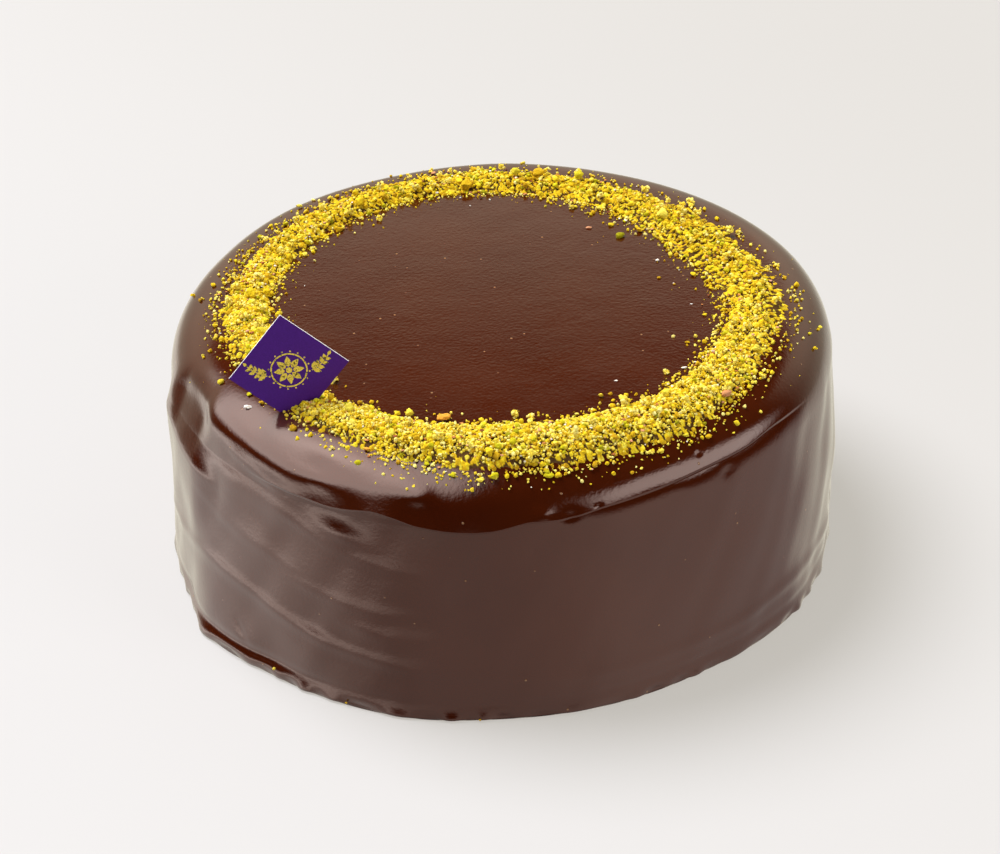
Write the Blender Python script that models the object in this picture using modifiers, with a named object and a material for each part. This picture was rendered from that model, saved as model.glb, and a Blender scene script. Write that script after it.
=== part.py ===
# A round chocolate-glazed cake with a ring of pistachio crumbs on top and a small
# paper card pushed in by one corner.
# Metres, +Z up, -Y towards the front; the cake rests on z = 0.

import math
import random

import bmesh
import bpy
import numpy as np
from mathutils import Euler, Matrix, Vector

# ---- glazed cake, driving dimensions ----
CAKE_HEIGHT = 0.0810
CAKE_RADIUS = 0.1020
FOOT_EDGE = 0.0006          # rounding of the lowest edge
SHOULDER_REACH = 0.0172     # how far the rounded shoulder runs in
SHOULDER_DROP = 0.0182      # and how far it runs down
SHOULDER_START = CAKE_HEIGHT - SHOULDER_DROP
TOP_FALL = (-0.0141, 0.0023)    # slope of the top, which is lower on the right
AROUND_STEPS = 72

# rows of corners from the middle of the top down to the foot
TOP_ROWS = (0.0, 0.034, 0.062)                  # radii on the flat top
SHOULDER_ROWS = (90, 72, 58, 46, 35, 25)        # angles on the rounded shoulder
SIDE_ROWS = (0.0670, 0.0657, 0.0646, 0.0625, 0.0580, 0.0520, 0.0450, 0.0380, 0.0310, 0.0250,
             0.0205, 0.0170, 0.0135, 0.0085, 0.0040, FOOT_EDGE)     # heights on the side
TOP_MARGIN = 0.002          # rows this close to the top's height belong to the top

# outline under the shoulder and on the table: (azimuth, radius)
UPPER_OUTLINE = [(-171, 0.1006), (-135, 0.1006), (-90, 0.1018), (-45, 0.1024), (-9, 0.1018),
                 (18, 0.1031), (45, 0.1028), (65, 0.1028), (88, 0.1041), (112, 0.1026),
                 (135, 0.1025), (155, 0.1006)]
FOOT_OUTLINE = [(-175, 0.1064), (-166, 0.1059), (-157, 0.1058), (-149, 0.1096),
                (-141, 0.1084), (-133, 0.1066), (-106, 0.1071), (-92, 0.1049),
                (-75, 0.1042), (-58, 0.1030), (-36, 0.1046), (-10, 0.1028), (5, 0.1038),
                (90, 0.1045)]
# how far the side swells out between the two: (azimuth, swell), and where
SIDE_SWELL = [(-150, 0.0), (-60, 0.0002), (-9, 0.0015), (60, 0.0006)]
SWELL_HEIGHT = 0.036
SWELL_HALF_WIDTH = 0.017

# lower edge of the glaze that ran over the shoulder: (azimuth, height), and its step
LIP_HEIGHT = 0.0655
LIP_LINE = [(-127, 0.0655), (-111, 0.0658), (-105, 0.0625), (-91, 0.0625), (-85, 0.0660),
            (-82, 0.0628), (-77, 0.0667), (-70, 0.0670), (-62, 0.0690), (-46, 0.0697),
            (-42, 0.0712), (-34, 0.0705), (0, 0.0655)]
LIP_STEP = [(-128, 0.0), (-116, 0.0003), (-84, 0.0005), (-74, 0.0009), (-44, 0.0009),
            (-36, 0.0004), (-30, 0.0)]
LIP_EDGE = 0.0009           # height over which the step turns in
LIP_FADE = 0.012            # and over which it fades out below
LIP_ROWS_REACH = 0.011      # rows within this height of the lip follow it

# ridge low on the side, where the glaze swells out to the foot: (azimuth, height)
FOOT_LINE_HEIGHT = 0.018
FOOT_LINE = [(-170, 0.0272), (-145, 0.0294), (-129, 0.0248), (-120, 0.0214), (-100, 0.0175),
             (-80, 0.0133), (-50, 0.0130), (-38, 0.0155), (0, 0.0140), (90, 0.0180)]
FOOT_RIDGE = [(-180, 0.0009), (-120, 0.0009), (-90, 0.0005), (-40, 0.0007), (90, 0.0006)]
FOOT_RIDGE_WIDTH = 0.0032
FOOT_ROWS_REACH = 0.014

# folds on the left: (first azimuth, last azimuth, first height, last height, rise, half width)
SIDE_FOLDS = [
    (-164, -127, 0.0700, 0.0633, 0.0011, 0.0026),
    (-127, -107, 0.0600, 0.0489, 0.0006, 0.0040),
    (-124, -104, 0.0377, 0.0350, 0.0006, 0.0040),
    (-157, -146, 0.0585, 0.0537, -0.0010, 0.0022),
]

# ---- ring of crumbs ----
RING_INNER = [(-174, 0.0685), (-150, 0.0700), (-126, 0.0755), (-90, 0.0750), (-54, 0.0750),
              (-30, 0.0715), (-6, 0.0690), (18, 0.0620), (42, 0.0630), (66, 0.0660),
              (102, 0.0695), (150, 0.0675)]
RING_OUTER = [(-174, 0.0850), (-150, 0.0840), (-138, 0.0845), (-126, 0.0905), (-102, 0.0940),
              (-78, 0.0950), (-54, 0.0945), (-30, 0.0890), (-6, 0.0890), (18, 0.0830),
              (42, 0.0820), (90, 0.0845), (126, 0.0840), (162, 0.0820)]
RING_RISE = 0.0019          # height of the heap in its middle
RING_BUMP = 0.0011          # crumbs that are too fine to stand alone
RING_EDGE = 0.0004          # thickness of the heap at its thin edges
RING_WANDER = 0.0012        # how far its edges stray in and out
RING_SINK = 0.0016          # the heap's underside lies this far below the glaze
RING_STEPS = 150
RING_ROWS = 7
RING_SEED = 11

CRUMB_COUNT = 140
CRUMB_RADIUS = (0.0011, 0.0020)
CRUMB_SPACING = 0.0042
CRUMB_LIFT = 0.35           # height of a crumb's middle above the heap, in its radii
CRUMB_SEED = 29
CRUMB_STRETCH = ((0.8, 1.2), (0.75, 1.15), (0.7, 1.0))      # of its three widths
CRUMB_FACETS = (0.86, 1.12)     # how far its corners lie in or out
LOOSE_SHARE = 0.12          # share of the crumbs that lie just beside the ring
LOOSE_SPREAD = 0.0022

# ---- paper card ----
CARD_SIDE = 0.0239
CARD_THICKNESS = 0.0005
CARD_CENTRE = (-0.0589, -0.0618, 0.0934)
CARD_ROLL = math.radians(41.4)
CARD_TILT_BACK = math.radians(-5.8)
CARD_TURN = math.radians(5.1)
CARD_GAP = 0.0003


def clear_scene():
    for old in list(bpy.data.objects):
        bpy.data.objects.remove(old, do_unlink=True)


def add_collection(name):
    collection = bpy.data.collections.new(name)
    bpy.context.scene.collection.children.link(collection)
    return collection


def add_material(name, colour, roughness, metallic=0.0):
    material = bpy.data.materials.new(name)
    material.use_nodes = True
    shader = material.node_tree.nodes["Principled BSDF"]
    shader.inputs["Base Color"].default_value = (*colour, 1.0)
    shader.inputs["Roughness"].default_value = roughness
    shader.inputs["Metallic"].default_value = metallic
    return material


def add_object(name, mesh, collection, material=None):
    obj = bpy.data.objects.new(name, mesh)
    collection.objects.link(obj)
    if material:
        mesh.materials.append(material)
    return obj


def applied_mesh(obj):
    # the object's mesh with its modifiers in it
    graph = bpy.context.evaluated_depsgraph_get()
    return bpy.data.meshes.new_from_object(obj.evaluated_get(graph))


def by_azimuth(azimuth, knots, soften=3.0):
    # value at an azimuth in degrees, straight between the knots and rounded off at them
    angles = [knot[0] for knot in knots]
    values = [knot[1] for knot in knots]
    shifts = np.linspace(-soften, soften, 9)
    samples = [np.interp(azimuth + shift, angles, values, period=360.0) for shift in shifts]
    return np.mean(samples, axis=0)


def turn_between(azimuth, centre):
    return (azimuth - centre + 180.0) % 360.0 - 180.0


def hill(distance):
    return np.exp(-distance * distance)


def ease(share):
    share = np.clip(share, 0.0, 1.0)
    return share * share * (3.0 - 2.0 * share)


def side_radius(azimuth, height):
    # side from the foot up to the rounded shoulder
    share = np.clip(height / SHOULDER_START, 0.0, 1.0)
    upper = by_azimuth(azimuth, UPPER_OUTLINE)
    radius = by_azimuth(azimuth, FOOT_OUTLINE) * (1.0 - share) + upper * share
    swell = hill((height - SWELL_HEIGHT) / SWELL_HALF_WIDTH)
    radius = radius + by_azimuth(azimuth, SIDE_SWELL) * swell
    above = np.clip((height - SHOULDER_START) / SHOULDER_DROP, 0.0, 1.0)
    return radius - SHOULDER_REACH * (1.0 - np.sqrt(1.0 - above * above))


def slide_rows(azimuth, height):
    # the rows near the lip and the foot ridge follow those lines around the cake
    to_lip = ease(1.0 - np.abs(height - LIP_HEIGHT) / LIP_ROWS_REACH)
    to_foot = ease(1.0 - np.abs(height - FOOT_LINE_HEIGHT) / FOOT_ROWS_REACH)
    lip_shift = by_azimuth(azimuth, LIP_LINE) - LIP_HEIGHT
    foot_shift = by_azimuth(azimuth, FOOT_LINE) - FOOT_LINE_HEIGHT
    return height + to_lip * lip_shift + to_foot * foot_shift


def side_relief(azimuth, height):
    # how far the glaze stands out from, or lies behind, the plain turned side
    below_lip = by_azimuth(azimuth, LIP_LINE) - height
    step = by_azimuth(azimuth, LIP_STEP)
    relief = -step * ease(below_lip / LIP_EDGE) * np.exp(-np.maximum(below_lip, 0.0) / LIP_FADE)
    foot_gap = (height - by_azimuth(azimuth, FOOT_LINE)) / FOOT_RIDGE_WIDTH
    relief = relief + by_azimuth(azimuth, FOOT_RIDGE) * hill(foot_gap)
    for first, last, low, high, rise, width in SIDE_FOLDS:
        share = turn_between(azimuth, first) / (last - first)
        line = low + (high - low) * np.clip(share, 0.0, 1.0)
        ends = ease(share / 0.25 + 0.5) * ease((1.0 - share) / 0.25 + 0.5)
        relief = relief + rise * ends * hill((height - line) / width)
    return relief


def top_height(azimuth, radius):
    # height of the top or shoulder at a radius, before the top's fall to one side
    flat = by_azimuth(azimuth, UPPER_OUTLINE) - SHOULDER_REACH
    inward = np.clip((radius - flat) / SHOULDER_REACH, 0.0, 0.98)
    return SHOULDER_START + SHOULDER_DROP * np.sqrt(1.0 - inward * inward)


def settle(azimuth, radius, height):
    # point of the cake, with the fall of its top
    angle = np.radians(azimuth)
    x = radius * np.cos(angle)
    y = radius * np.sin(angle)
    z = height * (1.0 + (TOP_FALL[0] * x + TOP_FALL[1] * y) / CAKE_HEIGHT)
    return np.stack([x, y, z], axis=-1)


def turned_profile():
    # (radius, height) from the centre of the top, down the outer side, to the base
    flat_top = [(radius, CAKE_HEIGHT) for radius in TOP_ROWS]
    steps = [math.radians(angle) for angle in SHOULDER_ROWS]
    flat = CAKE_RADIUS - SHOULDER_REACH
    shoulder = [(flat + SHOULDER_REACH * math.cos(step),
                 SHOULDER_START + SHOULDER_DROP * math.sin(step)) for step in steps]
    side = [(CAKE_RADIUS, height) for height in SIDE_ROWS]
    base = [(CAKE_RADIUS - FOOT_EDGE, 0.0), (0.0, 0.0)]
    return flat_top + shoulder + side + base


def make_glazed_round(collection):
    profile = turned_profile()
    mesh = bpy.data.meshes.new("glazed_round")
    points = [(radius, 0.0, height) for radius, height in profile]
    edges = [(index, index + 1) for index in range(len(points) - 1)]
    mesh.from_pydata(points, edges, [])
    turned = add_object("glazed_round", mesh, collection)
    screw = turned.modifiers.new("turn", 'SCREW')
    screw.steps = AROUND_STEPS
    screw.render_steps = AROUND_STEPS
    screw.use_merge_vertices = True
    screw.merge_threshold = 0.0001
    solid = applied_mesh(turned)
    turned.modifiers.clear()
    turned.data = solid
    form_glaze(solid)
    return turned


def form_glaze(mesh):
    # gives the turned round its outline, lip, ridge, folds and fall
    points = np.empty(len(mesh.vertices) * 3)
    mesh.vertices.foreach_get("co", points)
    points = points.reshape(-1, 3)
    azimuth = np.degrees(np.arctan2(points[:, 1], points[:, 0]))
    radius = np.hypot(points[:, 0], points[:, 1])
    height = points[:, 2]
    on_side = (height > 0.5 * FOOT_EDGE) & (height < CAKE_HEIGHT - TOP_MARGIN)
    slid = np.where(on_side, slide_rows(azimuth, height), height)
    outer = side_radius(azimuth, slid) + side_relief(azimuth, slid)
    # the flat top and the base keep their share of the outline
    outline = side_radius(azimuth, np.minimum(slid, SHOULDER_START))
    inside = radius * outline / CAKE_RADIUS
    radius = np.where(on_side, outer, inside)
    settled = settle(azimuth, radius, slid)
    mesh.vertices.foreach_set("co", settled.ravel())
    mesh.update()


def ring_edges(azimuth):
    return float(by_azimuth(azimuth, RING_INNER)), float(by_azimuth(azimuth, RING_OUTER))


def heap_rise(share):
    # height of the heap at a share of its width, without its bumps
    return RING_RISE * max(math.sin(math.pi * share), 0.0) ** 0.7


def make_crumb_ring(collection):
    # a low heap in a ring, bumpy at the size of the crumbs; a loft between its two edges
    draw = random.Random(RING_SEED)
    shape = bmesh.new()
    upper = []
    lower = []
    for step in range(RING_STEPS):
        azimuth = 360.0 * step / RING_STEPS
        inner, outer = ring_edges(azimuth)
        inner += draw.uniform(-RING_WANDER, RING_WANDER)
        outer += draw.uniform(-RING_WANDER, RING_WANDER)
        upper_row = []
        lower_row = []
        for row in range(RING_ROWS):
            share = row / (RING_ROWS - 1)
            glaze = on_top(azimuth, inner + (outer - inner) * share)
            inside = 0 < row < RING_ROWS - 1
            bump = draw.uniform(0.0, RING_BUMP) if inside else -2.0 * RING_EDGE
            lift = heap_rise(share) * draw.uniform(0.8, 1.1) + bump + RING_EDGE
            upper_row.append(shape.verts.new(glaze + Vector((0.0, 0.0, lift))))
            lower_row.append(shape.verts.new(glaze - Vector((0.0, 0.0, RING_SINK))))
        upper.append(upper_row)
        lower.append(lower_row)
    for step in range(RING_STEPS):
        after = (step + 1) % RING_STEPS
        for row in range(RING_ROWS - 1):
            shape.faces.new((upper[step][row], upper[step][row + 1],
                             upper[after][row + 1], upper[after][row]))
            shape.faces.new((lower[step][row], lower[after][row],
                             lower[after][row + 1], lower[step][row + 1]))
        shape.faces.new((upper[step][0], upper[after][0], lower[after][0], lower[step][0]))
        shape.faces.new((upper[step][-1], lower[step][-1], lower[after][-1], upper[after][-1]))
    bmesh.ops.triangulate(shape, faces=shape.faces[:])
    bmesh.ops.recalc_face_normals(shape, faces=shape.faces[:])
    mesh = bpy.data.meshes.new("crumb_heap")
    shape.to_mesh(mesh)
    shape.free()
    return add_object("crumb_heap", mesh, collection)


def on_top(azimuth, radius):
    # point of the glazed top or shoulder at an azimuth and a radius
    height = float(top_height(azimuth, radius))
    point = settle(np.array([azimuth]), np.array([radius]), np.array([height]))[0]
    return Vector(point)


def near_card(point, reach):
    # whether a crumb of this reach would touch the card or its slot
    local = card_frame().inverted() @ point
    half = 0.5 * CARD_SIDE + CARD_GAP + reach
    thick = 0.5 * CARD_THICKNESS + CARD_GAP + reach
    return abs(local.x) < half and abs(local.z) < half and abs(local.y) < thick


def make_crumb(name, point, radius, draw, collection):
    # one chopped pistachio: a rough faceted lump
    shape = bmesh.new()
    bmesh.ops.create_icosphere(shape, subdivisions=1, radius=radius)
    stretch = [draw.uniform(*limits) for limits in CRUMB_STRETCH]
    turn = Matrix.Rotation(draw.uniform(0.0, 2.0 * math.pi), 3, 'Z')
    for corner in shape.verts:
        corner.co = Vector([corner.co[axis] * stretch[axis] for axis in range(3)])
        corner.co *= draw.uniform(*CRUMB_FACETS)
    bmesh.ops.rotate(shape, verts=shape.verts[:], matrix=turn)
    bmesh.ops.translate(shape, verts=shape.verts[:], vec=point)
    mesh = bpy.data.meshes.new(name)
    shape.to_mesh(mesh)
    shape.free()
    return add_object(name, mesh, collection)


def crumb_place(draw, radius):
    # a seat for a crumb of this radius, on the heap or just beside it
    azimuth = draw.uniform(-180.0, 180.0)
    inner, outer = ring_edges(azimuth)
    if draw.random() < LOOSE_SHARE:
        aside = RING_WANDER + abs(draw.gauss(0.0, LOOSE_SPREAD))
        distance = outer + aside if draw.random() < 0.5 else inner - aside
        heap = 0.0
    else:
        share = draw.uniform(0.08, 0.92)
        distance = inner + (outer - inner) * share
        heap = heap_rise(share) + RING_EDGE + 0.5 * RING_BUMP
    return on_top(azimuth, distance) + Vector((0.0, 0.0, heap + CRUMB_LIFT * radius))


def make_crumbs(collection):
    # the largest crumbs, spread over the ring, none on another and none on the card
    draw = random.Random(CRUMB_SEED)
    small, large = CRUMB_RADIUS
    placed = []
    while len(placed) < CRUMB_COUNT:
        radius = small + (large - small) * draw.random() ** 1.6
        point = crumb_place(draw, radius)
        if near_card(point, 1.3 * radius):
            continue
        if any((point - other).length < CRUMB_SPACING for other in placed):
            continue
        placed.append(point)
        make_crumb(f"crumb_{len(placed):03d}", point, radius, draw, collection)


def card_frame():
    turn = Euler((CARD_TILT_BACK, CARD_ROLL, CARD_TURN), 'YXZ').to_matrix().to_4x4()
    return Matrix.Translation(CARD_CENTRE) @ turn


def make_card(name, side, thickness, collection, material=None):
    # a thin square plate, stood on one corner
    bpy.ops.mesh.primitive_cube_add(size=1.0)
    plate = bpy.context.object
    plate.name = name
    plate.data.name = name
    plate.data.transform(Matrix.Diagonal((side, thickness, side, 1.0)))
    plate.matrix_world = card_frame()
    for other in list(plate.users_collection):
        other.objects.unlink(plate)
    collection.objects.link(plate)
    if material:
        plate.data.materials.append(material)
    return plate


def keep_largest_piece(mesh):
    # drops any scrap that the joining left loose
    shape = bmesh.new()
    shape.from_mesh(mesh)
    left = set(shape.verts)
    pieces = []
    while left:
        seed = left.pop()
        piece = {seed}
        front = [seed]
        while front:
            corner = front.pop()
            for edge in corner.link_edges:
                other = edge.other_vert(corner)
                if other not in piece:
                    piece.add(other)
                    front.append(other)
        left -= piece
        pieces.append(piece)
    pieces.sort(key=len, reverse=True)
    for piece in pieces[1:]:
        bmesh.ops.delete(shape, geom=list(piece), context='VERTS')
    shape.to_mesh(mesh)
    shape.free()


def apply_boolean(target, operation, operand=None, collection=None):
    boolean = target.modifiers.new(operation.lower(), 'BOOLEAN')
    boolean.operation = operation
    boolean.solver = 'MANIFOLD'
    if collection:
        boolean.operand_type = 'COLLECTION'
        boolean.collection = collection
    else:
        boolean.object = operand
    joined = applied_mesh(target)
    target.modifiers.clear()
    target.data = joined


def make_glazed_cake(parts, toppings, cutters, material):
    cake = make_glazed_round(parts)
    cake.name = "glazed_cake"
    make_crumb_ring(toppings)
    make_crumbs(toppings)
    apply_boolean(cake, 'UNION', collection=toppings)
    for topping in list(toppings.objects):
        bpy.data.objects.remove(topping, do_unlink=True)
    bpy.data.collections.remove(toppings)
    slot = make_card("card_slot", CARD_SIDE + 2.0 * CARD_GAP,
                     CARD_THICKNESS + 2.0 * CARD_GAP, cutters)
    slot.hide_render = True
    slot.display_type = 'WIRE'
    apply_boolean(cake, 'DIFFERENCE', operand=slot)
    keep_largest_piece(cake.data)
    cake.data.name = "glazed_cake"
    cake.data.materials.clear()
    cake.data.materials.append(material)
    return cake


def main():
    clear_scene()
    parts = add_collection("dubai_chocolate_cake")
    cutters = add_collection("cutters")
    toppings = add_collection("toppings")
    glaze = add_material("chocolate_glaze", (0.095, 0.026, 0.010), 0.28)
    paper = add_material("purple_card", (0.065, 0.014, 0.185), 0.45)
    make_glazed_cake(parts, toppings, cutters, glaze)
    make_card("tag_card", CARD_SIDE, CARD_THICKNESS, parts, paper)


main()
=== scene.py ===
import math
import random

import bmesh
import bpy
import numpy as np
from mathutils import Euler, Matrix, Quaternion, Vector
from mathutils.geometry import interpolate_bezier


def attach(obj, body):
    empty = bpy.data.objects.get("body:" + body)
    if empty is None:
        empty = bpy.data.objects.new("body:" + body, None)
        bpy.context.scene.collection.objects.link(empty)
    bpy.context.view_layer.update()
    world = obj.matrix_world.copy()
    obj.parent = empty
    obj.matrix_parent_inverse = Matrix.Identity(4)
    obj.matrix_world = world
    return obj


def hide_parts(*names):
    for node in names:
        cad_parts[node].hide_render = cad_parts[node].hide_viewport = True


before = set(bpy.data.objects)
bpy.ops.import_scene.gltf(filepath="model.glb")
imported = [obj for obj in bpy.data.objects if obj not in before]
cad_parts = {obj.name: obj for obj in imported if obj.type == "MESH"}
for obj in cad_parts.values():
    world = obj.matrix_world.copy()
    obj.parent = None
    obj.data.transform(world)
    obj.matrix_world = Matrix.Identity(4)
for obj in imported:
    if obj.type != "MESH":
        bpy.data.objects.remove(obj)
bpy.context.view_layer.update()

# A round cake in chocolate glaze, with a ring of chopped pistachio and a small card.
# Metres, +Z up, -Y towards the front. Azimuths are in degrees, 0 at +X and -90 at the front.

cakeForm = {
    "height": 0.0810,
    "radius": 0.1020,
    "footEdge": 0.0006,         # rounding of the lowest edge
    "shoulderReach": 0.0172,    # how far the rounded shoulder runs in
    "shoulderDrop": 0.0182,     # and how far it runs down
    "shoulderLimit": 0.98,      # share of that reach up to which things lie on it
    "topFall": (-0.0141, 0.0023),       # slope of the top
    # azimuth: radius, under the shoulder and on the table
    "upperOutline": {-171: 0.1006, -135: 0.1006, -90: 0.1018, -45: 0.1024, -9: 0.1018, 18: 0.1031,
                     45: 0.1028, 65: 0.1028, 88: 0.1041, 112: 0.1026, 135: 0.1025, 155: 0.1006},
    "footOutline": {-175: 0.1064, -166: 0.1059, -157: 0.1058, -149: 0.1096, -141: 0.1084,
                    -133: 0.1066, -106: 0.1071, -92: 0.1049, -75: 0.1042, -58: 0.1030, -36: 0.1046,
                    -10: 0.1028, 5: 0.1038, 90: 0.1045},
    "sideSwell": {-150: 0.0, -60: 0.0002, -9: 0.0015, 60: 0.0006},
    "swellHeight": 0.036,       # where the side swells out most
    "swellWidth": 0.017,
}


def between(azimuth, knots):
    # value at an azimuth, straight between the knots
    return np.interp(azimuth, list(knots), list(knots.values()))


def byAzimuth(azimuth, knots, soften=3.0):
    # the same all the way round, and rounded off at the knots
    samples = [np.interp(azimuth + shift, list(knots), list(knots.values()), period=360.0)
               for shift in np.linspace(-soften, soften, 9)]
    return np.mean(samples, axis=0)


def wrapped(azimuth):
    return (azimuth + 180.0) % 360.0 - 180.0


def hill(distance):
    return np.exp(-distance * distance)


def ease(share):
    share = np.clip(share, 0.0, 1.0)
    return share * share * (3.0 - 2.0 * share)


def shoulderStart():
    return cakeForm["height"] - cakeForm["shoulderDrop"]


def sideRadius(azimuth, height):
    form = cakeForm
    share = np.clip(height / shoulderStart(), 0.0, 1.0)
    foot = byAzimuth(azimuth, form["footOutline"])
    upper = byAzimuth(azimuth, form["upperOutline"])
    swell = hill((height - form["swellHeight"]) / form["swellWidth"])
    radius = foot * (1.0 - share) + upper * share + byAzimuth(azimuth, form["sideSwell"]) * swell
    above = np.clip((height - shoulderStart()) / form["shoulderDrop"], 0.0, 1.0)
    return radius - form["shoulderReach"] * (1.0 - np.sqrt(1.0 - above * above))


def topHeight(azimuth, radius):
    form = cakeForm
    flat = byAzimuth(azimuth, form["upperOutline"]) - form["shoulderReach"]
    inward = np.clip((radius - flat) / form["shoulderReach"], 0.0, form["shoulderLimit"])
    return shoulderStart() + form["shoulderDrop"] * np.sqrt(1.0 - inward * inward)


def settle(azimuth, radius, height):
    # point of the cake, with the fall of its top
    angle = np.radians(azimuth)
    x = radius * np.cos(angle)
    y = radius * np.sin(angle)
    fall = cakeForm["topFall"]
    z = height * (1.0 + (fall[0] * x + fall[1] * y) / cakeForm["height"])
    return np.stack([x, y, z], axis=-1)


def onTop(azimuth, radius, lift):
    return settle(azimuth, radius, topHeight(azimuth, radius) + lift)


def addObject(name, data):
    thing = bpy.data.objects.new(name, data)
    bpy.context.scene.collection.objects.link(thing)
    return thing


def addPiece(name, mesh, material):
    piece = addObject(name, mesh)
    mesh.materials.append(material)
    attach(piece, "root")
    return piece


def meshOf(name, shape):
    mesh = bpy.data.meshes.new(name)
    shape.to_mesh(mesh)
    shape.free()
    return mesh


def appliedMesh(piece):
    graph = bpy.context.evaluated_depsgraph_get()
    return bpy.data.meshes.new_from_object(piece.evaluated_get(graph))


# the materials are built with these small functions

def newMaterial(name):
    material = bpy.data.materials.new(name)
    material.use_nodes = True
    return material, material.node_tree, material.node_tree.nodes["Principled BSDF"]


def feed(node, inputs):
    # inputs by name or number: another node's output, a colour or a plain value
    for name, source in inputs.items():
        socket = node.inputs[name]
        if isinstance(source, bpy.types.NodeSocket):
            node.id_data.links.new(source, socket)
        elif socket.type == 'RGBA':
            socket.default_value = (*source, 1.0)
        else:
            socket.default_value = source


def addNode(tree, kind, inputs, output, **settings):
    # a shader node, of which one output is given back
    node = tree.nodes.new("ShaderNode" + kind)
    for name, value in settings.items():
        setattr(node, name, value)
    feed(node, inputs)
    return node.outputs[output]


def addMath(tree, operation, *sources):
    return addNode(tree, "Math", dict(enumerate(sources)), "Value", operation=operation)


def addVectorMath(tree, operation, *sources, output="Vector"):
    return addNode(tree, "VectorMath", dict(enumerate(sources)), output, operation=operation)


def addNoise(tree, scale, detail, roughness=0.5):
    place = addNode(tree, "TexCoord", {}, "Object")
    inputs = {"Vector": place, "Scale": scale, "Detail": detail, "Roughness": roughness}
    return addNode(tree, "TexNoise", inputs, "Fac")


def addRamp(tree, source, stops):
    # stops are (position, colour)
    ramp = addNode(tree, "ValToRGB", {"Fac": source}, "Color")
    points = ramp.node.color_ramp.elements
    while len(points) < len(stops):
        points.new(0.5)
    for point, (position, colour) in zip(points, stops):
        point.position = position
        point.color = (*colour, 1.0)
    return ramp


def addRange(tree, source, low, high, toLow, toHigh):
    inputs = {"Value": source, "From Min": low, "From Max": high, "To Min": toLow,
              "To Max": toHigh}
    return addNode(tree, "MapRange", inputs, "Result", interpolation_type='SMOOTHSTEP')


def mixColours(tree, share, first, second, blend='MIX'):
    return addNode(tree, "Mix", {0: share, 6: first, 7: second}, 2, data_type='RGBA',
                   blend_type=blend)


def addBump(tree, source, distance, strength, under=None):
    inputs = {"Height": source, "Distance": distance, "Strength": strength}
    if under:
        inputs["Normal"] = under
    return addNode(tree, "Bump", inputs, "Normal")


def grainMaterial(name, scale, stops):
    # coloured by a fine noise, which is given back for its bumps
    material, tree, shader = newMaterial(name)
    grain = addNoise(tree, scale, 3.0, 0.7)
    feed(shader, {"Base Color": addRamp(tree, grain, stops)})
    return material, tree, shader, grain


chocolate = {
    "dark": (0.047, 0.0068, 0.0013),
    "light": (0.055, 0.0090, 0.0019),
    "speck": (0.42, 0.23, 0.10),
    "specks": 260.0,            # cells in a metre that may hold one
    "speckEdge": (0.05, 0.11),          # distances from its middle between which it ends
    "speckChosen": (0.80, 0.86),        # draws between which a cell begins to hold one
    "roughness": (0.08, 0.13),
    "gloss": (1.0, 0.80, 0.72),         # tint of what it mirrors
}


def chocolateGlazeMaterial():
    form = chocolate
    material, tree, shader = newMaterial("chocolateGlaze")
    cloud = addNoise(tree, 26.0, 3.0)
    brown = addRamp(tree, cloud, [(0.38, form["dark"]), (0.66, form["light"])])
    # tiny light specks: the middles of a few cells
    place = addNode(tree, "TexCoord", {}, "Object")
    away = addNode(tree, "TexVoronoi", {"Vector": place, "Scale": form["specks"]}, "Distance")
    draw = addNode(tree, "SeparateColor", {"Color": away.node.outputs["Color"]}, "Red")
    dot = addRange(tree, away, *form["speckEdge"], 1.0, 0.0)
    few = addRange(tree, draw, *form["speckChosen"], 0.0, 0.6)
    speck = addMath(tree, 'MULTIPLY', dot, few)
    smear = addNoise(tree, 60.0, 4.0, 0.6)
    sway = addBump(tree, addNoise(tree, 70.0, 2.0), 0.0005, 0.12)
    grain = addBump(tree, addNoise(tree, 900.0, 3.0, 0.6), 0.00006, 0.7, sway)
    feed(shader, {"Base Color": mixColours(tree, speck, brown, form["speck"]),
                  "Roughness": addRange(tree, smear, 0.3, 0.7, *form["roughness"]),
                  "IOR": 1.5, "Specular Tint": form["gloss"],
                  "Normal": addBump(tree, speck, 0.0002, 0.5, grain)})
    return material


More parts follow.
